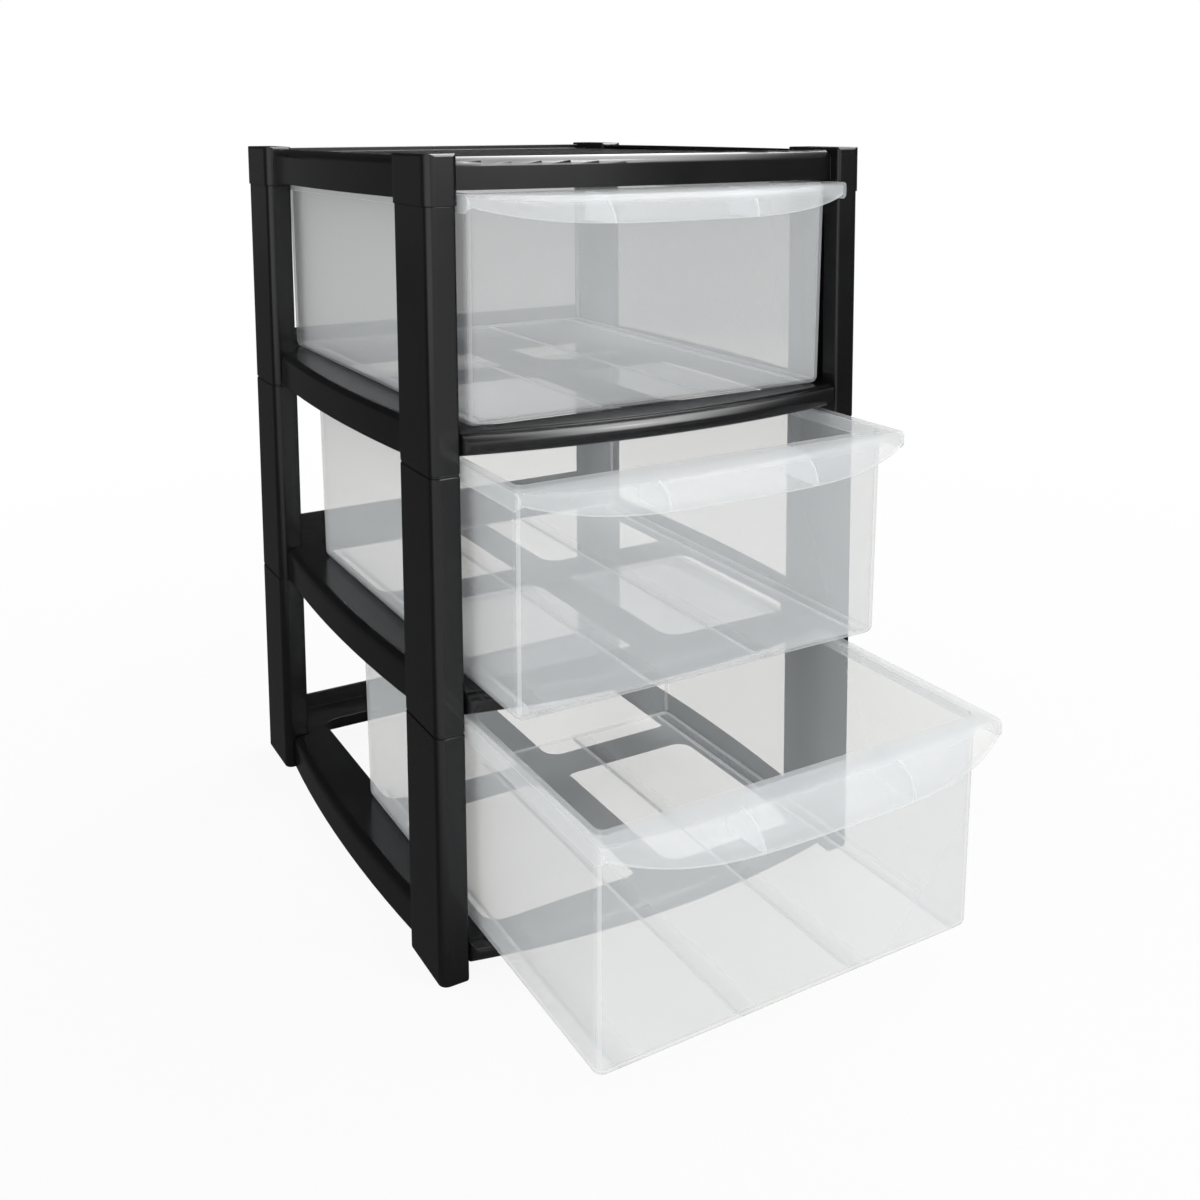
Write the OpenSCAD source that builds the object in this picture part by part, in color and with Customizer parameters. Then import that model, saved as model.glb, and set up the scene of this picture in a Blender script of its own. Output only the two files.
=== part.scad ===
// Three-drawer storage tower: a moulded frame of four rings and twelve posts that plug
// together, with three see-through drawers that slide on the rings.
// Origin: on the floor, in the middle of the footprint with the drawers as they stand.
// +Z is up and the drawers open towards -Y.

/* [Tower] */
// Overall width over the posts
tower_w = 377; // [330:1:430]
// Overall depth over the posts
tower_d = 446; // [400:1:500]
// Height from one post joint to the next
tier_h = 188; // [150:1:230]
// Height of the corner caps on the top frame
cap_h = 35.5; // [35.5:0.5:45]
// Clear gap between a ring's edges and the posts beside them
part_gap = 1; // [0.5:0.1:1.5]

/* [Posts] */
// Width of a post's front face
post_w = 22; // [19:0.5:26]
// Depth of a post's side face
post_d = 64; // [50:1:70]
// Wall of a post
post_wall = 2.4; // [1.8:0.1:3]
// Radius of a post's outer edges
post_round = 7; // [5:0.5:9]
// Radius of the edges beside the slot
post_inner_round = 2; // [1:0.25:4]
// Width of the open slot down a post's inner side
slot_w = 30; // [24:1:36]
// Thickness of the sole that closes a foot
foot_t = 3; // [3:0.5:6]
// Radius of the rounded edge round a foot's sole
foot_round = 3; // [1:0.5:5]

/* [Rings] */
// Height of a ring's flat top above the post joint below it
plate_z = 31; // [29:0.5:34]
// Thickness of a ring's flat top
plate_t = 2.6; // [2:0.1:4]
// Wall of a ring's rails
rail_t = 2.4; // [1.8:0.1:3]
// Height of a side rail's lower edge above the post joint below it
side_rail_z = 3; // [2:0.5:10]
// How far a side rail sits behind the posts' outer faces at its ends
side_tuck = 7.5; // [2:0.5:10]
// How far a side rail bows outwards in the middle
side_bow = 7; // [4:0.5:14]
// Radius of a rail's rounded shoulder
shoulder_r = 7; // [4:0.5:9]
// Height of the round nose along a ring's front edge
nose_h = 16; // [14:0.5:20]
// How far the top of the nose lies below the flat top
nose_sink = 1.6; // [0.3:0.1:1.8]
// How far the nose stands in front of the posts at its ends
nose_out = 3.5; // [2:0.5:7]
// How far the nose bows forward in the middle
front_bow = 20; // [10:1:30]
// How far the back rail sits in front of the posts' rear faces
rear_tuck = 8; // [4:1:14]
// Height of the back rail's stop above the flat top
stop_h = 15; // [3:0.5:20]

/* [Windows] */
// Width of the flat border at each side of the windows
side_border = 35; // [28:1:60]
// Depth of the flat border in front of the windows
front_border = 12; // [8:1:30]
// Depth of the flat border behind the windows
rear_border = 38; // [30:1:80]
// Width of the two bars that cross between the windows
bar_w = 25; // [16:1:40]
// Radius of a window's corners
window_r = 15; // [6:1:30]
// Depth of the stiffening wall round a window
flange_h = 5; // [4:0.5:10]

/* [Top frame] */
// Height of the top frame's rails above its joint
top_rail_z = 33.5; // [30:0.5:34]
// Lower edge of the top frame's side and back rails above its joint
top_side_z = 3; // [1:0.5:6]
// How far the top panel is sunk below the rails
panel_sink = 4; // [2:0.5:6]
// Lower edge of the top frame's front rail above its joint
front_rail_z = 10; // [6:0.5:14]
// How far the top frame's front rail sits behind the posts' front faces
front_rail_tuck = 9; // [4:1:12]
// How far the top frame's front rail bows forward in the middle
top_bow = 12; // [4:1:24]
// How far a corner cap stands out round its post
cap_out = 1; // [0.5:0.25:1.5]
// Radius of the rounded edge round a cap's top
cap_round = 2; // [0.5:0.25:3]
// Depth of the ribs under the top panel
panel_rib_h = 6; // [3:0.5:8]
// Thickness of the ribs under the top panel
panel_rib_t = 2; // [1.4:0.2:3]

/* [Joints between posts] */
// Length of the spigot that plugs down into the post below
spigot_h = 18; // [12:1:40]
// Gap between a spigot and its post on every side
spigot_gap = 0.3; // [0.2:0.05:0.5]
// Wall of a hollow spigot
spigot_t = 2.2; // [1.6:0.1:3]
// Thickness of the collar that a ring lays between two posts
collar_t = 1.6; // [1:0.1:2.5]
// How far the collar's edge is inset from the posts' faces
collar_inset = 0.8; // [0.3:0.1:1.5]

/* [Drawers] */
// Gap between a drawer's rim and the posts at each side
side_gap = 1; // [0.5:0.25:6]
// Gap between a drawer's rim and the top frame's front rail
top_gap = 1.9; // [1:0.1:6]
// Gap between a drawer's rim and the back rail
rear_gap = 6.1; // [3:0.1:40]
// Running gap between a drawer and the ring under it
run_gap = 0.3; // [0.2:0.05:0.5]
// How far each side wall leans in from the rim to the floor
side_draft = 1; // [0.5:0.25:4]
// How far the front and rear walls lean in from the rim to the floor
end_draft = 4; // [1:0.5:8]
// Wall of a drawer
wall = 2.2; // [1.6:0.1:3]
// Radius of a drawer's upright corners at the rim
corner_r = 8; // [6.5:0.5:16]
// Radius between a drawer's walls and its floor
floor_r = 6; // [4:0.5:6.5]
// Width of the rim that stands out round the body
rim_w = 7.5; // [4:0.5:8]
// Thickness of the rim and of its turned-down skirt
rim_t = 1.8; // [1.2:0.1:2.4]
// Height of the turned-down skirt of the rim
rim_h = 13; // [8:0.5:16]
// Width of a stiffening rib on the drawer floor
floor_rib_w = 2; // [1:0.25:3]
// Height of a stiffening rib on the drawer floor
floor_rib_h = 1.2; // [0.6:0.1:2.5]
// Distance from the outer floor ribs to the rounded foot of the side walls
rib_edge = 9; // [4:1:30]

/* [Handles] */
// Distance from a drawer's front wall to the front of the flat ledge
ledge_d = 12; // [9:0.5:16]
// Gap between the fronts of the posts and a shut drawer's handle
shut_gap = 1; // [0.5:0.25:3]
// How far a drawer's front wall sits behind its handle, between the posts
set_back = 4; // [2:0.5:8]
// How far a handle reaches forward of its ledge at its ends
tip_reach = 6; // [3:0.5:12]
// How far a handle reaches forward of its ledge in the middle
mid_reach = 28.5; // [20:0.5:40]
// How far a handle's edge drops at its ends
tip_drop = 9; // [4:0.5:12]
// How far a handle's edge drops in the middle
mid_drop = 22.5; // [14:0.5:32]
// Wall of a handle
handle_t = 2; // [1.6:0.1:3]
// How bluntly a handle's curved edge ends
handle_curve = 3.6; // [2:0.1:5]
// Distance between the two webs under a handle
web_span = 126; // [80:1:200]
// Thickness of a web under a handle
web_t = 2; // [1.2:0.1:3]

/* [Pose] */
// How far the top drawer is pulled out
top_open = 0; // [0:1:280]
// How far the middle drawer is pulled out
middle_open = 72; // [0:1:280]
// How far the bottom drawer is pulled out
bottom_open = 178; // [0:1:280]

/* [Hidden] */

black = [0.13, 0.13, 0.135];
clear_plastic = [0.80, 0.83, 0.86, 0.55];
$fn = 48;
eps = 0.01;

// joint heights
base_z = 0;
lower_z = tier_h;
upper_z = 2 * tier_h;
top_z = 3 * tier_h;

// posts: the middle of a post's section, and the inner faces that the drawers pass
post_x = (tower_w - post_w) / 2;
post_y = (tower_d - post_d) / 2;
inner_x = tower_w / 2 - post_w;
inner_y = tower_d / 2 - post_d;

// rings: where the rails end, and the circles that their bowed faces follow
rail_end_x = inner_x - part_gap;
rail_end_y = inner_y - part_gap;
side_end = tower_w / 2 - side_tuck;
side_mid = side_end + side_bow;
side_circle = bow_radius(rail_end_y, side_bow);
nose_r = nose_h / 2;
nose_mid = tower_d / 2 + nose_out + front_bow;

// the line along the middle of the nose, and where its rounded ends begin
nose_line = bow_radius(rail_end_x, front_bow) - nose_r;
nose_half = rail_end_x - nose_r;
nose_turn = nose_line - sqrt(pow(nose_line, 2) - pow(nose_half, 2)) - nose_mid + nose_r;
nose_lap = 1;

// top frame's front rail and the back rails
front_rail_mid = tower_d / 2 - front_rail_tuck + top_bow;
front_rail_circle = bow_radius(rail_end_x, top_bow);
rear_face = tower_d / 2 - rear_tuck;

// windows: their outer edges, and the middle of the bar across
window_side = side_end - side_border;
window_front = front_border - tower_d / 2;
window_rear = rear_face - rear_border;
window_mid = (window_front + window_rear) / 2;

// drawers, shut: the body's faces just under the rim, all set by the frame round them
ledge_back = -tower_d / 2 - shut_gap;
front_wall = ledge_back + set_back;
ledge_front = front_wall - ledge_d;
rear_wall = rear_face - rail_t - rear_gap - rim_w;
drawer_d = rear_wall - front_wall;
drawer_mid = (rear_wall + front_wall) / 2;
drawer_w = 2 * (inner_x - side_gap - rim_w);
drawer_z = plate_z + run_gap;
drawer_h = tier_h + front_rail_z - top_gap - drawer_z;
handle_half = drawer_w / 2 + rim_w;
// how far a handle's end webs sit inside its ends
cheek_inset = 0.2;
foot_x = drawer_w / 2 - side_draft - floor_r;
foot_y = drawer_d / 2 - end_draft - floor_r;
rib_pitch = 2 * (foot_x - rib_edge) / 3;
handle_steps = 28;
curl_steps = 7;

// how far back the tower stands, so that the origin is in the middle of its footprint
foremost = min(-nose_mid, ledge_front - mid_reach - max(top_open, middle_open, bottom_open));
origin_shift = -(foremost + tower_d / 2 + cap_out) / 2;

// radius of the circle whose arc rises by "rise" over a chord of twice "half"
function bow_radius(half, rise) = (half * half + rise * rise) / (2 * rise);

// a handle at x: how far its edge reaches forward and how far it drops
function bluntness(x) = 1 - pow(abs(x) / handle_half, handle_curve);
function reach(x) = tip_reach + (mid_reach - tip_reach) * bluntness(x);
function drop(x) = tip_drop + (mid_drop - tip_drop) * bluntness(x);

// a point of a handle's curl at x: t runs from 0 at the ledge to 90 at the edge
function curl(x, t, inset) = [
    x,
    ledge_front - (reach(x) - inset) * sin(t),
    drawer_h - drop(x) + (drop(x) - inset) * cos(t)
];

// ---------- outlines ----------

module rounded_rect(w, d, r) {
    square([w, d - 2 * r], center = true);
    square([w - 2 * r, d], center = true);
    for (sx = [-1, 1]) for (sy = [-1, 1])
        translate([sx * (w / 2 - r), sy * (d / 2 - r)]) circle(r);
}

// a post's outline: broad round edges outside, small ones beside the slot
module post_outline(grow = 0) {
    w = post_w / 2 + grow;
    d = post_d / 2 + grow;
    big = post_round + grow;
    small = max(eps, post_inner_round + grow);
    for (sy = [-1, 1]) {
        translate([big - w, sy * (d - big)]) circle(big);
        translate([w - small, sy * (d - small)]) circle(small);
    }
    translate([-w, big - d]) square([2 * w - small, 2 * (d - big)]);
    translate([big - w, -d]) square([2 * w - big - small, 2 * d]);
    translate([-w + big, small - d]) square([2 * w - big, 2 * (d - small)]);
}

// what passes down inside a post: its bore and its slot, less a gap on every side
module bore_outline(gap, slot_end) {
    w = post_w - 2 * (post_wall + gap);
    d = post_d - 2 * (post_wall + gap);
    rounded_rect(w, d, max(eps, post_round - post_wall - gap));
    translate([0, gap - slot_w / 2]) square([slot_end, slot_w - 2 * gap]);
}

// a hollow spigot that fills a post's bore and ends flush in its slot
module spigot_outline() {
    difference() {
        bore_outline(spigot_gap, post_w / 2);
        bore_outline(spigot_gap + spigot_t, post_w / 2 + eps);
    }
}

// a block seen from one side: w wide, h high, with its lower corners rounded
module block_side(w, h, r) {
    translate([-w / 2, r]) square([w, h - r]);
    translate([r - w / 2, 0]) square([w - 2 * r, h]);
    for (s = [-1, 1]) translate([s * (w / 2 - r), r]) circle(r);
}

// rounds off the lower edge of the upright block that is drawn inside it
module rounded_foot(w, d, h, r) {
    intersection() {
        children();
        rotate([90, 0, 0]) linear_extrude(2 * d, center = true) block_side(w, h, r);
        rotate([90, 0, 90]) linear_extrude(2 * w, center = true) block_side(d, h, r);
    }
}

// section of a rail: x = 0 is its outer face and y = 0 its lower edge
module rail_block(h, r, w) {
    translate([-w, 0]) square([w, h - r]);
    translate([-w, 0]) square([w - r, h]);
    translate([-r, h - r]) circle(r);
}

module rail_section(h, r) {
    difference() {
        rail_block(h, r, 2 * r);
        translate([-rail_t, -eps]) rail_block(h - rail_t + eps, r - rail_t, 2 * r);
    }
}

// section of the front nose: half a disc, reaching "back" behind its middle
module half_nose(r, back) {
    intersection() {
        circle(r);
        translate([0, -r]) square([r, 2 * r]);
    }
    translate([-back, -r]) square([back, 2 * r]);
}

// plan of the nose's ends: rounded off in front of the posts
module nose_plan(r) {
    square([2 * nose_half, 2 * tower_d], center = true);
    translate([-nose_half - r, nose_turn]) square([2 * (nose_half + r), tower_d]);
    for (s = [-1, 1]) translate([s * nose_half, nose_turn]) circle(r);
}

module window_outline(sx, rear, grow = 0) {
    front_edge = rear ? window_mid + bar_w / 2 : window_front;
    rear_edge = rear ? window_rear : window_mid - bar_w / 2;
    translate([sx * (window_side + bar_w / 2) / 2, (front_edge + rear_edge) / 2])
        rounded_rect(window_side - bar_w / 2 + 2 * grow, rear_edge - front_edge + 2 * grow, window_r + grow);
}

module windows(grow = 0) {
    for (sx = [-1, 1]) for (rear = [false, true]) window_outline(sx, rear, grow);
}

// a ring's flat outline inside its rails, cut back from the posts by "gap"
module plate_outline(front_mid, front_circle, gap) {
    side = side_mid - shoulder_r - rail_t;
    side_r = side_circle - shoulder_r - rail_t;
    difference() {
        intersection() {
            translate([side - side_r, 0]) circle(side_r, $fn = 256);
            translate([side_r - side, 0]) circle(side_r, $fn = 256);
            translate([0, front_circle - front_mid]) circle(front_circle, $fn = 256);
            translate([-tower_w, -tower_d]) square([2 * tower_w, tower_d + rear_face - rail_t / 2]);
        }
        for (sx = [-1, 1]) for (sy = [-1, 1])
            translate([sx * (inner_x - gap + tower_w / 2), sy * (inner_y - gap + tower_d / 2)])
                square([tower_w, tower_d], center = true);
    }
}

// ---------- placing ----------

// places a piece in the tower: at a height, and pulled out of it
module placed(z, out = 0) {
    translate([0, origin_shift - out, z]) children();
}

// moves what is drawn round a post's middle into one corner, with its slot facing inwards
module at_corner(sx, sy) {
    mirror([sx > 0 ? 1 : 0, 0, 0]) mirror([0, sy > 0 ? 1 : 0, 0]) translate([-post_x, -post_y, 0]) children();
}

module at_corners() {
    for (sx = [-1, 1]) for (sy = [-1, 1]) at_corner(sx, sy) children();
}

// sweeps a section along a bow that turns away from +X: "mid" is its outermost reach
module bowed(mid, half, circle_r, turn) {
    sweep = 2 * asin(half / circle_r);
    rotate([0, 0, turn]) translate([mid - circle_r, 0, 0]) rotate([0, 0, -sweep / 2])
        rotate_extrude(angle = sweep, $fn = 256) translate([circle_r, 0]) children();
}

// ---------- posts ----------

// a bottom post: its foot has a closed sole with a rounded edge
module foot_post(sx, sy) {
    color(black) placed(base_z) at_corner(sx, sy) difference() {
        rounded_foot(post_w, post_d, lower_z, foot_round) linear_extrude(lower_z) post_outline();
        translate([0, 0, foot_t]) linear_extrude(lower_z) bore_outline(0, post_w);
    }
}

// a post between two rings: it stands on the lower one's collars
module upright(sx, sy, bottom, top) {
    color(black) placed(bottom + collar_t) at_corner(sx, sy) linear_extrude(top - bottom - collar_t) difference() {
        post_outline();
        bore_outline(0, post_w);
    }
}

module middle_post(sx, sy) upright(sx, sy, lower_z, upper_z);
module upper_post(sx, sy) upright(sx, sy, upper_z, top_z);

module foot_post_front_left() foot_post(-1, -1);
module foot_post_front_right() foot_post(1, -1);
module foot_post_rear_left() foot_post(-1, 1);
module foot_post_rear_right() foot_post(1, 1);
module middle_post_front_left() middle_post(-1, -1);
module middle_post_front_right() middle_post(1, -1);
module middle_post_rear_left() middle_post(-1, 1);
module middle_post_rear_right() middle_post(1, 1);
module upper_post_front_left() upper_post(-1, -1);
module upper_post_front_right() upper_post(1, -1);
module upper_post_rear_left() upper_post(-1, 1);
module upper_post_rear_right() upper_post(1, 1);

// ---------- rings ----------

module side_rails(z, h, half) {
    for (turn = [0, 180]) translate([0, 0, z])
        bowed(side_mid, half, side_circle, turn) rail_section(h, shoulder_r);
}

module back_rail(bottom, top, half) {
    translate([-half, rear_face - rail_t, bottom]) cube([2 * half, rail_t, top - bottom]);
}

// webs that close the ends of the side rails next to the posts, set a little into the rails
module rail_end_webs(z, h) {
    inset = rail_t / 2;
    for (sx = [0, 1]) for (sy = [0, 1]) mirror([sx, 0, 0]) mirror([0, sy, 0])
        translate([side_end - inset, rail_end_y - inset, z]) rotate([90, 0, 0]) linear_extrude(rail_t)
            rail_block(h - inset, shoulder_r - inset, side_end - inset - rail_end_x);
}

// the front nose: a half-round bar along the bow, rounded off at both ends
module nose_bar(r, back) {
    intersection() {
        bowed(nose_mid - nose_r, rail_end_x + rail_t, nose_line, -90) half_nose(r, back);
        translate([0, 0, -nose_h]) linear_extrude(2 * nose_h) nose_plan(r);
    }
}

module nose() {
    difference() {
        nose_bar(nose_r, nose_lap);
        nose_bar(nose_r - rail_t, 2 * nose_lap);
    }
}

// the flat top, which laps onto the nose, with stiffening walls round four windows
module ring_top() {
    difference() {
        union() {
            translate([0, 0, plate_z - plate_t]) linear_extrude(plate_t)
                plate_outline(nose_mid - nose_r + nose_lap, nose_line + nose_lap, part_gap);
            translate([0, 0, plate_z - plate_t - flange_h]) linear_extrude(flange_h + plate_t / 2) windows(rail_t);
        }
        translate([0, 0, -tier_h]) linear_extrude(2 * tier_h) windows();
    }
}

// a ring's corner inside the posts: a hollow key from "bottom" up, tied to the flat top
module ring_corner(bottom) {
    neck = part_gap + 3 * spigot_t;
    translate([0, 0, bottom]) linear_extrude(plate_z - bottom) spigot_outline();
    for (sy = [-1, 1])
        translate([post_w / 2 - spigot_t, sy * (slot_w / 2 - spigot_gap - spigot_t / 2) - spigot_t / 2,
            plate_z - plate_t - flange_h]) cube([neck, spigot_t, plate_t + flange_h]);
    translate([post_w / 2 - spigot_t, spigot_gap - slot_w / 2, plate_z - plate_t])
        cube([neck, slot_w - 2 * spigot_gap, plate_t]);
}

// a ring that carries a drawer: a flat top with four windows, bowed side rails and a round nose
module shelf_ring() {
    ring_top();
    side_rails(side_rail_z, plate_z - side_rail_z, rail_end_y);
    rail_end_webs(side_rail_z, plate_z - side_rail_z);
    back_rail(side_rail_z, plate_z + stop_h, rail_end_x);
    translate([0, 0, plate_z - nose_sink - nose_r]) nose();
}

module base_ring() {
    color(black) placed(base_z) {
        shelf_ring();
        at_corners() ring_corner(foot_t);
    }
}

// an upper ring also lays a thin collar between two posts and plugs into the lower one
module stacked_ring(joint) {
    color(black) placed(joint) {
        shelf_ring();
        at_corners() {
            ring_corner(-spigot_h);
            linear_extrude(collar_t) post_outline(-collar_inset);
        }
    }
}

module lower_shelf_ring() stacked_ring(lower_z);
module upper_shelf_ring() stacked_ring(upper_z);

// ---------- top frame ----------

// a corner cap: a hollow block with the posts' outline, and a spigot down into the post
module cap() {
    difference() {
        translate([0, 0, cap_h]) mirror([0, 0, 1])
            rounded_foot(post_w + 2 * cap_out, post_d + 2 * cap_out, cap_h, cap_round)
                linear_extrude(cap_h) post_outline(cap_out);
        translate([0, 0, -eps]) linear_extrude(cap_h - post_wall) post_outline(cap_out - post_wall);
    }
    translate([0, 0, -spigot_h]) linear_extrude(spigot_h + cap_h - post_wall / 2) intersection() {
        spigot_outline();
        post_outline(cap_out - post_wall / 2);
    }
}

module panel_ribs() {
    for (s = [-1, 1]) {
        translate([s * tower_w / 6, 0]) square([panel_rib_t, 2 * tower_d], center = true);
        translate([0, s * tower_d / 6]) square([2 * tower_w, panel_rib_t], center = true);
    }
}

module top_frame() {
    panel_z = top_rail_z - panel_sink - plate_t;
    into_cap = post_wall / 2 - cap_out;
    color(black) placed(top_z) {
        at_corners() cap();
        translate([0, 0, panel_z]) linear_extrude(plate_t)
            plate_outline(front_rail_mid - rail_t / 2, front_rail_circle - rail_t / 2, -into_cap);
        translate([0, 0, panel_z - panel_rib_h]) linear_extrude(panel_rib_h + plate_t / 2) intersection() {
            panel_ribs();
            plate_outline(front_rail_mid - rail_t / 2, front_rail_circle - rail_t / 2, part_gap);
        }
        side_rails(top_side_z, top_rail_z - top_side_z, inner_y + into_cap);
        back_rail(top_side_z, top_rail_z, inner_x + into_cap);
        translate([0, 0, front_rail_z]) bowed(front_rail_mid, inner_x + into_cap, front_rail_circle, -90)
            rail_section(top_rail_z - front_rail_z, shoulder_r);
    }
}

// ---------- drawers ----------

// a drawer's body as one block, shrunk by "inset": round floor edges, leaning walls
module drawer_block(inset) {
    hull() for (sx = [-1, 1]) for (sy = [-1, 1]) {
        translate([sx * foot_x, sy * foot_y, floor_r]) sphere(floor_r - inset, $fn = 32);
        translate([sx * (drawer_w / 2 - corner_r), sy * (drawer_d / 2 - corner_r), drawer_h - rim_t / 2])
            cylinder(h = rim_t / 2 + (inset > 0 ? eps : 0), r = corner_r - inset, $fn = 32);
    }
}

// the rim seen from above: round at the back, and straight on into the ledge at the front
module rim_outline(inset) {
    w = drawer_w + 2 * (rim_w - inset);
    d = drawer_d + 2 * (rim_w - inset);
    front_edge = ledge_back - drawer_mid;
    intersection() {
        union() {
            rounded_rect(w, d, corner_r + rim_w - inset);
            translate([-w / 2, front_edge]) square([w, drawer_d / 2]);
        }
        translate([-w, front_edge]) square([2 * w, 2 * d]);
    }
}

module rim() {
    translate([0, 0, drawer_h - rim_t]) linear_extrude(rim_t) difference() {
        rim_outline(0);
        rounded_rect(drawer_w - wall, drawer_d - wall, corner_r - wall / 2);
    }
    translate([0, 0, drawer_h - rim_h]) linear_extrude(rim_h - eps) difference() {
        rim_outline(0);
        rim_outline(rim_t);
    }
}

// the handle: a flat ledge in front of the posts, then a crescent that curls forward and down
module handle() {
    ring = 2 * (curl_steps + 1);
    xs = [for (i = [0:handle_steps]) handle_half * (2 * i / handle_steps - 1)];
    points = [for (x = xs) each concat(
        [for (j = [0:curl_steps]) curl(x, 90 * j / curl_steps, 0)],
        [for (j = [curl_steps:-1:0]) curl(x, 90 * j / curl_steps, handle_t)]
    )];
    faces = concat(
        [[for (k = [0:ring - 1]) k]],
        [for (i = [0:handle_steps - 1]) for (k = [0:ring - 1]) each [
            [i * ring + k, (i + 1) * ring + k, i * ring + (k + 1) % ring],
            [(i + 1) * ring + k, (i + 1) * ring + (k + 1) % ring, i * ring + (k + 1) % ring]
        ]],
        [[for (k = [ring - 1:-1:0]) handle_steps * ring + k]]
    );
    polyhedron(points, faces);
    translate([-handle_half, ledge_front, drawer_h - handle_t])
        cube([2 * handle_half, ledge_back - ledge_front, handle_t]);
    translate([-drawer_w / 2, ledge_back, drawer_h - handle_t])
        cube([drawer_w, set_back + wall / 2, handle_t]);
    for (s = [-1, 1]) {
        handle_web(s * web_span / 2, web_t, front_wall + wall / 2, drawer_h - drop(web_span / 2));
        handle_web(s * (handle_half - cheek_inset - rim_t / 2), rim_t, ledge_back + rim_t, drawer_h - rim_h);
    }
}

// a web of thickness t under the handle's curl at x, from "back" forwards and from "low" up
module handle_web(x, t, back, low) {
    edge = [for (j = [0:curl_steps]) curl(x, 90 * j / curl_steps, handle_t / 2)];
    translate([x - t / 2, 0, 0]) rotate([90, 0, 90]) linear_extrude(t) polygon(concat(
        [[back, drawer_h - handle_t / 2]],
        [for (p = edge) [p[1], p[2]]],
        [[back, low]]
    ));
}

module floor_ribs() {
    for (i = [-1.5:1.5]) translate([i * rib_pitch - floor_rib_w / 2, drawer_mid - foot_y, wall / 2])
        cube([floor_rib_w, 2 * foot_y, floor_rib_h + wall / 2]);
}

module drawer(joint, out) {
    color(clear_plastic) placed(joint + drawer_z, out) {
        difference() {
            union() {
                translate([0, drawer_mid, 0]) drawer_block(0);
                translate([0, drawer_mid, 0]) rim();
                handle();
            }
            translate([0, drawer_mid, 0]) drawer_block(wall);
        }
        floor_ribs();
    }
}

module drawer_bottom() drawer(base_z, bottom_open);
module drawer_middle() drawer(lower_z, middle_open);
module drawer_top() drawer(upper_z, top_open);

foot_post_front_left();
foot_post_front_right();
foot_post_rear_left();
foot_post_rear_right();
middle_post_front_left();
middle_post_front_right();
middle_post_rear_left();
middle_post_rear_right();
upper_post_front_left();
upper_post_front_right();
upper_post_rear_left();
upper_post_rear_right();
base_ring();
lower_shelf_ring();
upper_shelf_ring();
top_frame();
drawer_bottom();
drawer_middle();
drawer_top();
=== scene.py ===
"""Three-drawer storage tower: a black plug-together frame and three see-through drawers."""
import bpy
import bmesh
import math
from mathutils import Matrix, Vector


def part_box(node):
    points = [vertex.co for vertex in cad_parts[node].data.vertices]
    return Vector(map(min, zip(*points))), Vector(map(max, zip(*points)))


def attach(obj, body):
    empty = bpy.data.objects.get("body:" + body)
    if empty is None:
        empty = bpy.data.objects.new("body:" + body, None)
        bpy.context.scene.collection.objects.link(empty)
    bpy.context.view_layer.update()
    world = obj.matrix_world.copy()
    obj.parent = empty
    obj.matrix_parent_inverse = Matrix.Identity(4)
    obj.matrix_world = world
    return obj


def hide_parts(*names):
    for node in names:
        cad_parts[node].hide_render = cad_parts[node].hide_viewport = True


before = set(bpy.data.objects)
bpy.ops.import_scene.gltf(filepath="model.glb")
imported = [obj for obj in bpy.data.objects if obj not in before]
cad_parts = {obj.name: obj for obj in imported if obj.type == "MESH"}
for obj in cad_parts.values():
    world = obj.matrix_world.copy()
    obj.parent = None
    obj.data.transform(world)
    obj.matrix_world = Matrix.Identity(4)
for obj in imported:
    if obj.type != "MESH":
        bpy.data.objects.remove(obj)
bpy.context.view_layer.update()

# ---------------------------------------------------------------- corner posts
# Twelve hollow posts, three to a corner, injection moulded in black polypropylene with a satin
# gloss. Each is a C in section, open towards the drawers, and a ring's spigot plugs into it. The
# bottom four end in closed feet with a rounded sole.

post_wall = 0.0024
post_outer_round = 0.007
post_inner_round = 0.002
post_slot = 0.030
post_end_round = 0.0006
foot_round = 0.0019

square_on = 0.99
sharp_bend = math.radians(60)
shading_bend = math.radians(40)

black = (0.0045, 0.0045, 0.0048, 1)
worn_black = (0.009, 0.009, 0.0094, 1)
cloud_scale, skin_scale = 14, 900
black_roughness, black_clouds = 0.15, 0.12
shaded_edge_round, shaded_edge_samples = 0.0008, 6


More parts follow.
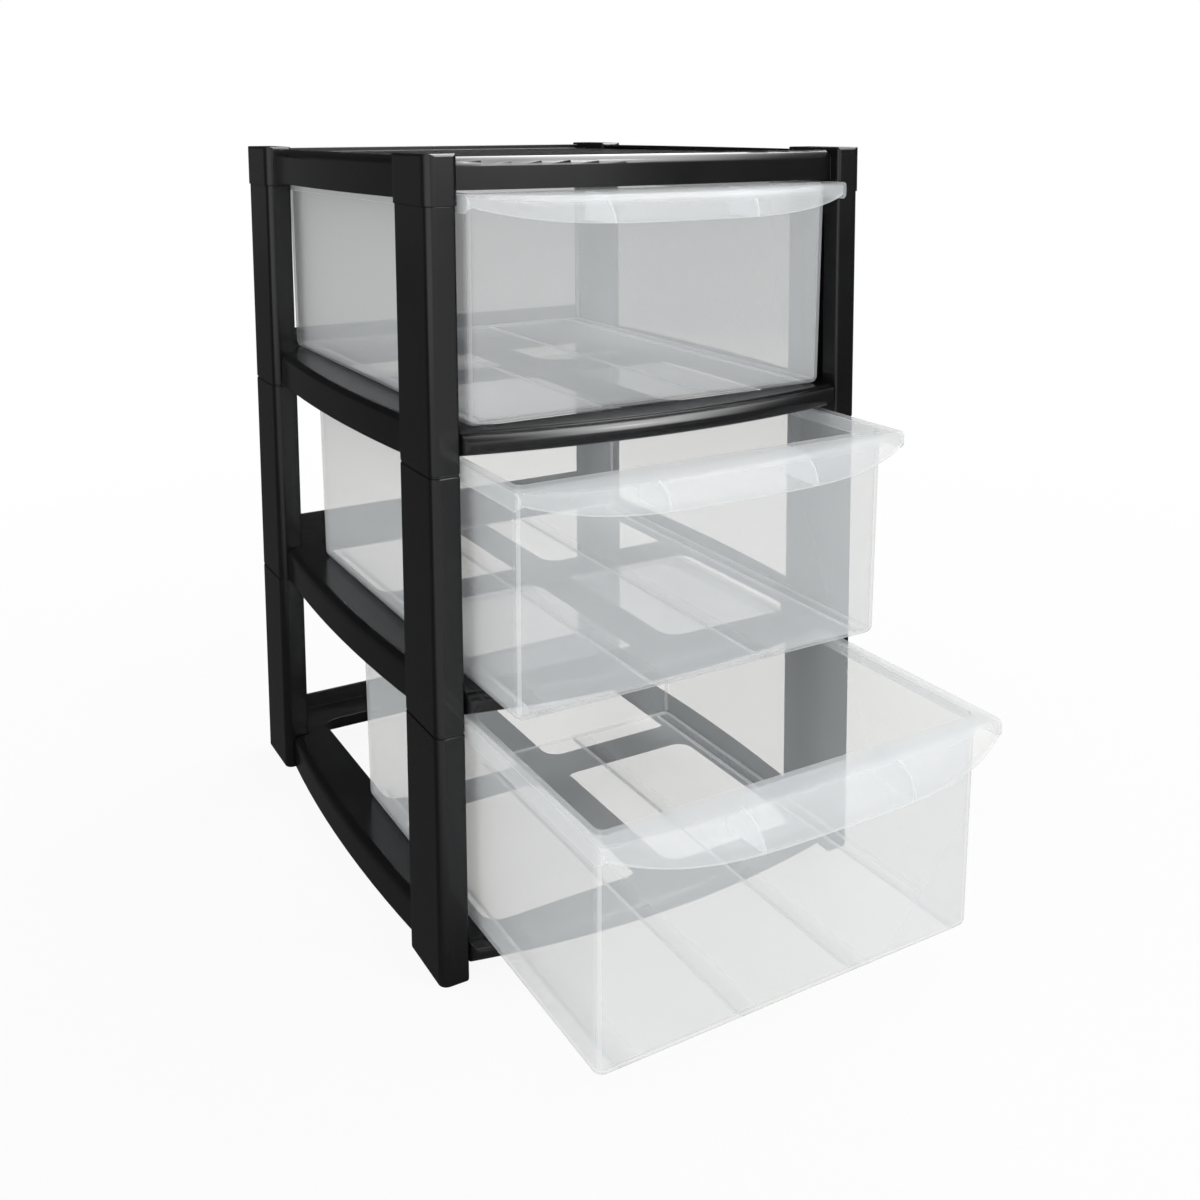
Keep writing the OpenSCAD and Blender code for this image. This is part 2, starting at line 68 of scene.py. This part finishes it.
class Wire:
    """A value on its way through a material: Python's operators on it add Math nodes."""

    def __init__(self, tree, socket=None):
        self.tree = tree
        self.socket = socket

    def feed(self, node, sockets):
        for name, value in sockets.items():
            if isinstance(value, Wire):
                self.tree.links.new(value.socket, node.inputs[name])
            else:
                node.inputs[name].default_value = value

    def node(self, kind, sockets, output=0, **settings):
        """Adds a node, sets it up and feeds its sockets with values or with other wires."""
        made = self.tree.nodes.new("ShaderNode" + kind)
        for name, value in settings.items():
            setattr(made, name, value)
        self.feed(made, sockets)
        return Wire(self.tree, made.outputs[output])

    def also(self, output):
        """Another output of the node that this value comes from."""
        return Wire(self.tree, self.socket.node.outputs[output])

    def ramp(self, value, start, end):
        """Rises from 0 where the value is at the start to 1 where it is at the end."""
        return self.node("MapRange", {"Value": value, "From Min": start, "From Max": end})

    def mix(self, part, first, second):
        """Goes from the first colour to the second as the part goes from 0 to 1."""
        return self.node("Mix", {0: part, 6: first, 7: second}, output=2, data_type="RGBA")

    def maths(self, operation, first, second):
        return self.node("Math", {0: first, 1: second}, operation=operation)

    def fraction(self):
        return self.node("Math", {0: self}, operation="FRACT")

    def near(self, value, within):
        """1 where this value is within so much of another, 0 elsewhere."""
        return self.node("Math", {0: self, 1: value, 2: within}, operation="COMPARE")

    def __add__(self, other):
        return self.maths("ADD", self, other)

    def __sub__(self, other):
        return self.maths("SUBTRACT", self, other)

    def __rsub__(self, other):
        return self.maths("SUBTRACT", other, self)

    def __mul__(self, other):
        return self.maths("MULTIPLY", self, other)

    __rmul__ = __mul__

    def __truediv__(self, other):
        return self.maths("DIVIDE", self, other)

    def __pow__(self, other):
        return self.maths("POWER", self, other)

    def __rpow__(self, other):
        return self.maths("POWER", other, self)


def new_material(name):
    material = bpy.data.materials.new(name)
    material.use_nodes = True
    tree = material.node_tree
    return material, Wire(tree), tree.nodes["Principled BSDF"]


def make_black_plastic():
    """Satin black moulding: soft cloudy gloss, a fine skin and edges that catch the light."""
    material, wire, shader = new_material("black_plastic")
    place = wire.node("TexCoord", {}, output="Object")
    clouds = wire.node("TexNoise", {"Vector": place, "Scale": cloud_scale, "Detail": 3,
                                    "Roughness": 0.6})
    skin = wire.node("TexNoise", {"Vector": place, "Scale": skin_scale, "Detail": 2})
    edges = wire.node("Bevel", {"Radius": shaded_edge_round}, samples=shaded_edge_samples)
    bump = wire.node("Bump", {"Height": skin, "Strength": 0.05, "Distance": 0.0002,
                              "Normal": edges})
    wire.feed(shader, {"Base Color": wire.mix(clouds, black, worn_black),
                       "Roughness": clouds * black_clouds + black_roughness,
                       "Normal": bump, "Specular IOR Level": 0.45})
    return material


black_plastic = make_black_plastic()


def show(name, bm, materials, body, nodes):
    """Makes a finished mesh a piece: smooth faces, flat where flat, riding on its body."""
    bmesh.ops.recalc_face_normals(bm, faces=bm.faces)
    mesh = bpy.data.meshes.new(name)
    bm.to_mesh(mesh)
    bm.free()
    mesh.shade_smooth()
    mesh.set_sharp_from_angle(angle=shading_bend)
    piece = bpy.data.objects.new(name, mesh)
    bpy.context.scene.collection.objects.link(piece)
    for material in materials:
        mesh.materials.append(material)
    weighted = piece.modifiers.new("even_shading", "WEIGHTED_NORMAL")
    weighted.keep_sharp = True
    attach(piece, body)
    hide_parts(*nodes)


def add_block(bm, size, middle):
    """Adds a block to a mesh and returns its corners."""
    corners = bmesh.ops.create_cube(bm, size=1)["verts"]
    bmesh.ops.scale(bm, vec=size, verts=corners)
    bmesh.ops.translate(bm, vec=middle, verts=corners)
    return corners


def bevel(bm, edges, offset, segments, material=-1):
    bmesh.ops.bevel(bm, geom=edges, offset=offset, segments=segments, profile=0.5,
                    affect="EDGES", material=material)


def edges_taller_than(bm, height):
    return [e for e in bm.edges if abs(e.verts[0].co.z - e.verts[1].co.z) > height]


def edges_below(bm, height):
    return [e for e in bm.edges if all(v.co.z < height for v in e.verts)]


def sharp_edges(bm):
    return [e for e in bm.edges if e.is_manifold and e.calc_face_angle() > sharp_bend]


def make_post(low, high, outward, foot):
    """One post as a mesh. Its slot faces away from "outward", which is -1 on the left."""
    bm = bmesh.new()
    middle = (low + high) / 2
    add_block(bm, high - low, middle)
    bm.normal_update()
    upright = edges_taller_than(bm, post_slot)
    outer = [e for e in upright if (e.verts[0].co.x - middle.x) * outward > 0]
    inner = [e for e in upright if e not in outer]
    bevel(bm, outer, post_outer_round, segments=10)
    bevel(bm, inner, post_inner_round, segments=4)
    if foot:
        bevel(bm, edges_below(bm, low.z + post_wall / 2), foot_round, segments=5)
    bm.normal_update()
    for side in (-1, 1):
        faces = [f for f in bm.faces if f.normal.x * outward < -square_on]
        cut = list(dict.fromkeys(g for f in faces for g in (f, *f.edges, *f.verts)))
        slot_edge = middle + Vector((0, side * post_slot / 2, 0))
        bmesh.ops.bisect_plane(bm, geom=cut, plane_co=slot_edge, plane_no=(0, 1, 0))
    opened = [f for f in bm.faces if f.normal.x * outward < -square_on
              and abs(f.calc_center_median().y - middle.y) < post_slot / 4]
    opened += [f for f in bm.faces if f.normal.z > square_on]
    if not foot:
        opened += [f for f in bm.faces if f.normal.z < -square_on]
    bmesh.ops.delete(bm, geom=opened, context="FACES")
    bmesh.ops.solidify(bm, geom=bm.faces[:], thickness=post_wall)
    bm.normal_update()
    bevel(bm, sharp_edges(bm), post_end_round, segments=2)
    return bm


for tier in ("foot", "middle", "upper"):
    for corner in ("front_left", "front_right", "rear_left", "rear_right"):
        node = f"{tier}_post_{corner}"
        outward = -1 if corner.endswith("left") else 1
        post = make_post(*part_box(node), outward, tier == "foot")
        show(node + "_shell", post, [black_plastic], "frame", [node])

# ---------------------------------------------------------------- rings and top frame
# Three ring shelves and the top frame, each one moulding of the same black polypropylene. Their
# solids have the finished form, so they are shown as they are, in the posts' plastic.

for node in ("base_ring", "lower_shelf_ring", "upper_shelf_ring", "top_frame"):
    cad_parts[node].data.materials.clear()
    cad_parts[node].data.materials.append(black_plastic)

# ---------------------------------------------------------------- drawers
# Three frosted polypropylene drawers, each one thin-walled moulding: leaning walls, a rim turned
# down along the sides and the back, ribs on the floor, and a handle that curls down in front of
# the posts on two webs. Thick edges carry light and show as pale lines.

wall = 0.0022
side_draft = 0.001
end_draft = 0.004
drawer_corner = 0.008
floor_round = 0.006
rim_out = 0.0075
side_clear = 0.0002
rim_drop = 0.013
ledge_depth = 0.012
set_back = 0.004
tip_reach, mid_reach = 0.006, 0.0285
tip_drop, mid_drop = 0.009, 0.0225
tip_round = 0.004
bluntness = 3.6
handle_cuts, ledge_steps, curl_steps, web_steps = 59, 2, 12, 10
web_span = 0.126
web_wall = 0.002
rib_edge = 0.009
rib_wide, rib_high = 0.002, 0.0012
edge_round = 0.0005
same_place = edge_round / 10
clear_face, pale_face = 0, 1
pale_corner_from = 0.6
pale_foot_from, pale_foot_to = 0.55, 0.85

frosted = (0.86, 0.885, 0.90, 1)
# The edge colour is paler than the wall's: painted light for the light that thick edges carry;
# edges are also less clear.
edge_frosted = (0.93, 0.95, 0.965, 1)
wall_clear = 0.745
edge_clear = 0.58
slant_clear, full_slant = 0.3, 0.08
forward_scatter = 0.9
frost_scale = 9
frost_roughness, frost_clouds = 0.14, 0.1
tier_height, floor_level, floor_band = 0.188, 0.0323, 0.00376
rib_reach = 0.142
rib_spacing = rib_reach * 2 / 3
# A painted shadow beside each floor rib: how far it reaches, how dark it gets and its grey.
rib_shadow = 0.018
rib_shade = 0.8
shaded = (0.4, 0.42, 0.45, 1)


def make_frosted_plastic(name, colour, clear, painted_rib_shadow_depth):
    """See-through plastic: a slanting look passes more of it, so it turns milkier. Much of the
    light that it scatters goes on forwards, so its shadow is lighter than the wall looks. The
    ribs' soft shadows to their right are painted shade, darkening the floor's colour."""
    material, wire, shader = new_material(name)
    place = wire.node("TexCoord", {}, output="Object")
    across = wire.node("SeparateXYZ", {0: place}, output="X")
    tiers_up = across.also("Z") / tier_height
    # Painted shade: on the floor, the colour darkens towards the grey just right of each rib,
    # where its shadow would fall.
    on_floor = tiers_up.fraction().near(floor_level / tier_height, floor_band / tier_height)
    past_rib = ((across + rib_reach) / rib_spacing).fraction() * rib_spacing
    shade = wire.node("MapRange", {"Value": past_rib, "From Max": rib_shadow, "To Min": painted_rib_shadow_depth,
                                   "To Max": 0})
    clouds = wire.node("TexNoise", {"Vector": place, "Scale": frost_scale, "Detail": 2})
    bump = wire.node("Bump", {"Height": clouds, "Strength": 0.06, "Distance": 0.002})
    facing = 1 + full_slant - wire.node("LayerWeight", {"Blend": 0.5}, output="Facing")
    shadow = wire.node("LightPath", {}, output="Is Shadow Ray")
    seen = 1 - clear ** (facing ** -slant_clear)
    wire.feed(shader, {"Base Color": wire.mix(on_floor * shade, colour, shaded),
                       "Alpha": seen * (1 - shadow * forward_scatter),
                       "Roughness": clouds * frost_clouds + frost_roughness,
                       "Normal": bump, "IOR": 1.49, "Specular IOR Level": 0.14})
    return material


frosted_plastic = make_frosted_plastic("frosted_plastic", frosted, wall_clear, rib_shade)
frosted_edge = make_frosted_plastic("frosted_edge", edge_frosted, edge_clear, 0)


def round_edges(bm, edges):
    bevel(bm, edges, edge_round, segments=2, material=pale_face)


def open_edges(bm):
    return [e for e in bm.edges if e.is_boundary]


def only_corners(geometry):
    return [g for g in geometry if isinstance(g, bmesh.types.BMVert)]


def extrude_open(bm, edges):
    """Draws new faces out of open edges and returns their new corners, still in the old places."""
    return only_corners(bmesh.ops.extrude_edge_only(bm, edges=edges)["geom"])


def make_tray(bm, half_w, front, back, bottom, top):
    """Floor and leaning walls as one sheet, open at the top, with rounded corners."""
    middle = Vector((0, (front + back) / 2, (bottom + top) / 2))
    half_d = (back - front) / 2
    corners = add_block(bm, (2 * half_w, 2 * half_d, top - bottom), middle)
    foot = [v for v in corners if v.co.z < middle.z]
    lean = (1 - side_draft / half_w, 1 - end_draft / half_d, 1)
    bmesh.ops.scale(bm, vec=lean, verts=foot, space=Matrix.Translation(-middle))
    bevel(bm, edges_taller_than(bm, rim_drop), drawer_corner, segments=8)
    bevel(bm, edges_below(bm, bottom + edge_round), floor_round, segments=6)
    bm.normal_update()
    lid = [f for f in bm.faces if f.normal.z > square_on]
    bmesh.ops.delete(bm, geom=lid, context="FACES_ONLY")
    long_front = [e for e in open_edges(bm) if e.calc_length() > half_w
                  and all(v.co.y < middle.y for v in e.verts)]
    bmesh.ops.subdivide_edges(bm, edges=long_front, cuts=handle_cuts)


def make_rim(bm, half_w, front, back, ledge_back):
    """The rim's flat band: rounded at the back, square in front, where the ledge goes on."""
    out = rim_out - wall
    core_x = half_w - drawer_corner
    core_front, core_back = front + drawer_corner, back - drawer_corner
    for v in extrude_open(bm, open_edges(bm)):
        x, side = abs(v.co.x), math.copysign(1, v.co.x)
        if v.co.y > core_front:
            away = Vector((x - min(x, core_x), v.co.y - min(v.co.y, core_back))).normalized()
            v.co += Vector((side * away.x * out, away.y * out, 0))
        else:
            turn = math.atan2(core_front - v.co.y, max(x - core_x, 0)) / (math.pi / 4)
            if turn < 1:
                v.co.x = side * (half_w + out)
                v.co.y = core_front + (ledge_back - core_front) * turn
            else:
                v.co.x = side * (min(x, core_x) + (drawer_corner + out) * (2 - turn))
                v.co.y = ledge_back


def curl(x, turn, front, top, half, inset):
    """A point of the handle at x: turn runs from 0 at the ledge to 1 at the edge."""
    blunt = 1 - abs(x / half) ** bluntness
    reach = tip_reach + (mid_reach - tip_reach) * blunt
    drop = tip_drop + (mid_drop - tip_drop) * blunt
    angle = turn * math.pi / 2
    narrow = 1 - tip_round / half * (1 - math.cos(angle))
    return Vector((x * narrow, front - (reach - inset) * math.sin(angle),
                   top - drop + (drop - inset) * math.cos(angle)))


def make_handle(bm, half, ledge_back, ledge_front, top):
    """The ledge and the crescent that curls forward and down, drawn out of the rim's front."""
    along = bm.verts.layers.float.new("along")
    row = [e for e in open_edges(bm)
           if all(abs(v.co.y - ledge_back) < same_place for v in e.verts)]
    for step in range(1, ledge_steps + curl_steps + 1):
        corners = extrude_open(bm, row)
        for v in corners:
            if step <= ledge_steps:
                v.co.y = ledge_back + (ledge_front - ledge_back) * step / ledge_steps
                v[along] = v.co.x
            else:
                turn = (step - ledge_steps) / curl_steps
                v.co = curl(v[along], turn, ledge_front, top, half, wall)
        row = [e for e in open_edges(bm) if all(v in corners for v in e.verts)]
    return corners


def make_skirt(bm, lip, ledge_front, top):
    """The rim's turned-down skirt, which closes the handle's two ends as well."""
    tip = min(lip, key=lambda v: v.co.x).co.copy()
    edges = [e for e in open_edges(bm) if not all(v in lip for v in e.verts)]
    for v in extrude_open(bm, edges):
        beyond = max(ledge_front - v.co.y, 0) / (ledge_front - tip.y)
        v.co.z = top - rim_drop + (tip.z - top + rim_drop) * beyond
    bmesh.ops.remove_doubles(bm, verts=bm.verts, dist=same_place)


def thicken(bm, bottom):
    """Gives the sheet its thickness, inwards from the walls. Rims, corners and foot take the pale
    edge material: less clear, and lighter in colour as a painted highlight for the light that
    thick plastic carries.
    """
    sheet = set(bm.verts)
    bmesh.ops.solidify(bm, geom=bm.faces[:], thickness=wall)
    bm.normal_update()
    for f in bm.faces:
        edge = 0 < len([v for v in f.verts if v in sheet]) < len(f.verts)
        corner = min(abs(f.normal.x), abs(f.normal.y)) > pale_corner_from
        foot = (pale_foot_from < abs(f.normal.z) < pale_foot_to
                and f.calc_center_median().z < bottom + floor_round)
        f.material_index = pale_face if edge or corner or foot else clear_face
    round_edges(bm, sharp_edges(bm))


def make_web(bm, x, front, ledge_front, top, half):
    """A web between the drawer's front and the handle's curl."""
    turns = [step / web_steps for step in range(web_steps + 1)]
    curve = [curl(x, turn, ledge_front, top, half, wall / 2) for turn in turns]
    root = front + wall / 2
    corners = [Vector((x, root, curve[0].z)), *curve, Vector((x, root, curve[-1].z))]
    side = bm.faces.new([bm.verts.new(c - Vector((web_wall / 2, 0, 0))) for c in corners])
    side.material_index = pale_face
    made = bmesh.ops.extrude_face_region(bm, geom=[side])["geom"]
    bmesh.ops.translate(bm, vec=(web_wall, 0, 0), verts=only_corners(made))


def make_floor_ribs(bm, half_w, front, back, bottom):
    """Four low ribs along the floor, sunk halfway into it."""
    edge = half_w - side_draft - floor_round - rib_edge
    length = back - front - 2 * (end_draft + floor_round)
    foot, top = bottom + wall / 2, bottom + wall + rib_high
    for place in (-1, -1 / 3, 1 / 3, 1):
        middle = (place * edge, (front + back) / 2, (foot + top) / 2)
        corners = add_block(bm, (rib_wide, length, top - foot), middle)
        for v in corners:
            for f in v.link_faces:
                f.material_index = pale_face
        upper = [v for v in corners if v.co.z > bottom + wall]
        round_edges(bm, [e for e in bm.edges if all(v in upper for v in e.verts)])


for level in ("bottom", "middle", "top"):
    node = f"drawer_{level}"
    low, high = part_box(node)
    front = low.y + mid_reach + ledge_depth
    ledge_back = front - set_back
    ledge_front = front - ledge_depth
    back = high.y - rim_out
    half_w = high.x - side_clear - rim_out
    drawer = bmesh.new()
    make_tray(drawer, half_w, front, back, low.z, high.z - wall)
    make_rim(drawer, half_w, front, back, ledge_back)
    lip = make_handle(drawer, high.x - wall, ledge_back, ledge_front, high.z)
    make_skirt(drawer, lip, ledge_front, high.z)
    thicken(drawer, low.z)
    for x in (-web_span / 2, web_span / 2):
        make_web(drawer, x, front, ledge_front, high.z, high.x)
    make_floor_ribs(drawer, half_w, front, back, low.z)
    show(node + "_moulding", drawer, [frosted_plastic, frosted_edge], node + "_body", [node])

# ---------------------------------------------------------------- floor and backdrop
# A pale floor and a white surround, which the camera sees white, a little creamy or grey through
# the drawers. As light on the tower they stay at a plain level. Gloss sees a studio instead: a
# pale floor in front, dim walls and a lit ceiling.

floor_reach = 6.0
floor_drop = 0.0005
floor_colour = (0.86, 0.86, 0.85, 1)
lit_floor_to, white_floor_from = 0.4, 1.6
floor_glow = 0.92
surround_light = 0.62
white = (1, 1, 1, 1)
cream = (1, 0.965, 0.9, 1)
grey = (0.37, 0.36, 0.34, 1)
cream_to, grey_from = 1.2, 3
creamy_walls = 4
floor_gloss, dim_gloss, dark_gloss, ceiling_gloss = 0.75, 0.07, 0.03, 11
pale_floor_edge, pale_floor_blend = 0.1, 0.3
pale_until, dim_from = 0.4, 0.75
wall_foot = 0.15
ceiling_low = (0.1, 0.3)
ceiling_lean, ceiling_back = 0.5, (0.25, 0.45)
ceiling_left, ceiling_right = (0.12, 0.34), (0.72, 0.5)


def seen_white(wire, distance):
    """White, but through the walls of the drawers creamy near the tower and grey far off."""
    walls = wire.node("LightPath", {}, output="Transparent Depth")
    behind = wire.mix(wire.ramp(distance, cream_to, grey_from), cream, grey)
    return wire.mix(walls * walls.also("Is Camera Ray") * (1 / creamy_walls), white, behind)


def seen_in_gloss(wire, place):
    """How bright gloss sees the floor at a place, or the walls in a direction: pale in front,
    though not on the right, and dim elsewhere."""
    across = wire.node("SeparateXYZ", {0: place}, output="X")
    forwards = -pale_floor_edge - across.also("Y")
    in_front = wire.ramp(forwards, 0, pale_floor_blend)
    not_right = wire.ramp(across / forwards, dim_from, pale_until)
    return in_front * not_right * (floor_gloss - dim_gloss) + dim_gloss


floor_bm = bmesh.new()
bmesh.ops.create_circle(floor_bm, cap_ends=True, segments=96, radius=floor_reach)
floor_mesh = bpy.data.meshes.new("floor")
floor_bm.to_mesh(floor_mesh)
floor_bm.free()
floor = bpy.data.objects.new("floor", floor_mesh)
bpy.context.scene.collection.objects.link(floor)
floor_material, wire, shader = new_material("pale_floor")
wire.feed(shader, {"Base Color": floor_colour, "Roughness": 0.9, "Specular IOR Level": 0.1})
spot = wire.node("TexCoord", {}, output="Object")
distance = wire.node("VectorMath", {0: spot}, output="Value", operation="LENGTH")
glow = wire.node("Emission", {"Color": seen_white(wire, distance), "Strength": 1})
seen = wire.node("LightPath", {}, output="Is Camera Ray")
fade = wire.ramp(distance, lit_floor_to, white_floor_from) * (1 - floor_glow) + floor_glow
lit = Wire(wire.tree, shader.outputs[0])
seen_floor = wire.node("MixShader", {0: seen * fade, 1: lit, 2: glow})
sheen = wire.node("Emission", {"Color": white, "Strength": seen_in_gloss(wire, spot)})
whole_floor = wire.node("MixShader", {0: seen.also("Is Glossy Ray"), 1: seen_floor, 2: sheen})
wire.feed(wire.tree.nodes["Material Output"], {"Surface": whole_floor})
floor_mesh.materials.append(floor_material)
floor.location.z = -floor_drop

world = bpy.data.worlds.new("surround")
world.use_nodes = True
bpy.context.scene.world = world
wire = Wire(world.node_tree)
seen = wire.node("LightPath", {}, output="Is Camera Ray")
reflected = seen.also("Is Glossy Ray") + seen.also("Is Transmission Ray")
direction = wire.node("TexCoord", {}, output="Generated")
rightwards = wire.node("SeparateXYZ", {0: direction}, output="X")
backwards, height = rightwards.also("Y"), rightwards.also("Z")
low_down = wire.ramp(height, wall_foot, 0)
not_behind = wire.ramp(height - backwards * ceiling_lean, *ceiling_back)
ceiling = wire.ramp(height, *ceiling_low) * not_behind * ceiling_gloss
ceiling *= wire.ramp(rightwards, *ceiling_left) * wire.ramp(rightwards, *ceiling_right)
studio = low_down * seen_in_gloss(wire, direction) + ceiling + dark_gloss
plain = surround_light * (1 - wire.node("Clamp", {"Value": seen + reflected}))
wire.feed(world.node_tree.nodes["Background"],
          {"Color": seen_white(wire, floor_reach), "Strength": plain + seen + reflected * studio})

# ---------------------------------------------------------------- studio lights
# Soft boxes that the camera doesn't see: a wide one in front, a small one high on its right, one
# over the right rear and a large one on the left.


def soft_box(name, place, size, power):
    """A lamp that faces the middle of the tower."""
    light = bpy.data.lights.new(name, "AREA")
    light.shape = "RECTANGLE"
    light.size, light.size_y = size
    light.energy = power
    lamp = bpy.data.objects.new(name, light)
    bpy.context.scene.collection.objects.link(lamp)
    lamp.visible_camera = False
    middle_of_tower = Vector((0, 0.1, 0.3))
    away = Vector(place) - middle_of_tower
    turn = away.to_track_quat("Z", "Y").to_matrix().to_4x4()
    lamp.matrix_world = Matrix.Translation(place) @ turn


soft_box("front_box", place=(0.1, -2.7, 1.1), size=(2.4, 1.1), power=9)
soft_box("high_box", place=(0.9, -1.6, 1.9), size=(0.25, 0.25), power=6)
soft_box("overhead_box", place=(1.0, 0.7, 1.9), size=(1.0, 0.5), power=10)
soft_box("left_box", place=(-2.3, -1.2, 0.9), size=(3.2, 2.0), power=14)

# ---------------------------------------------------------------- camera
# Eye level with the top, in front on the left, looking slightly down. The shifts place the tower
# within the frame.

camera_place = (-0.5228, -0.9394, 0.6182)
camera_turn = math.radians(30.33)
camera_tilt = math.radians(-6.62)
camera_roll = math.radians(-0.24)

camera = bpy.data.cameras.new("camera")
camera.sensor_width = 36
camera.lens = 39.44
camera.shift_x = -0.0135
camera.shift_y = -0.2688
camera.clip_end = 50
camera_object = bpy.data.objects.new("camera", camera)
bpy.context.scene.collection.objects.link(camera_object)
bpy.context.scene.camera = camera_object
level_look = Matrix.Rotation(-camera_turn, 4, "Z") @ Matrix.Rotation(math.pi / 2, 4, "X")
tilt_and_roll = Matrix.Rotation(camera_tilt, 4, "X") @ Matrix.Rotation(camera_roll, 4, "Z")
camera_object.matrix_world = Matrix.Translation(camera_place) @ level_look @ tilt_and_roll

bpy.context.scene.view_settings.view_transform = "Standard"
bpy.context.scene.cycles.transparent_max_bounces = 64
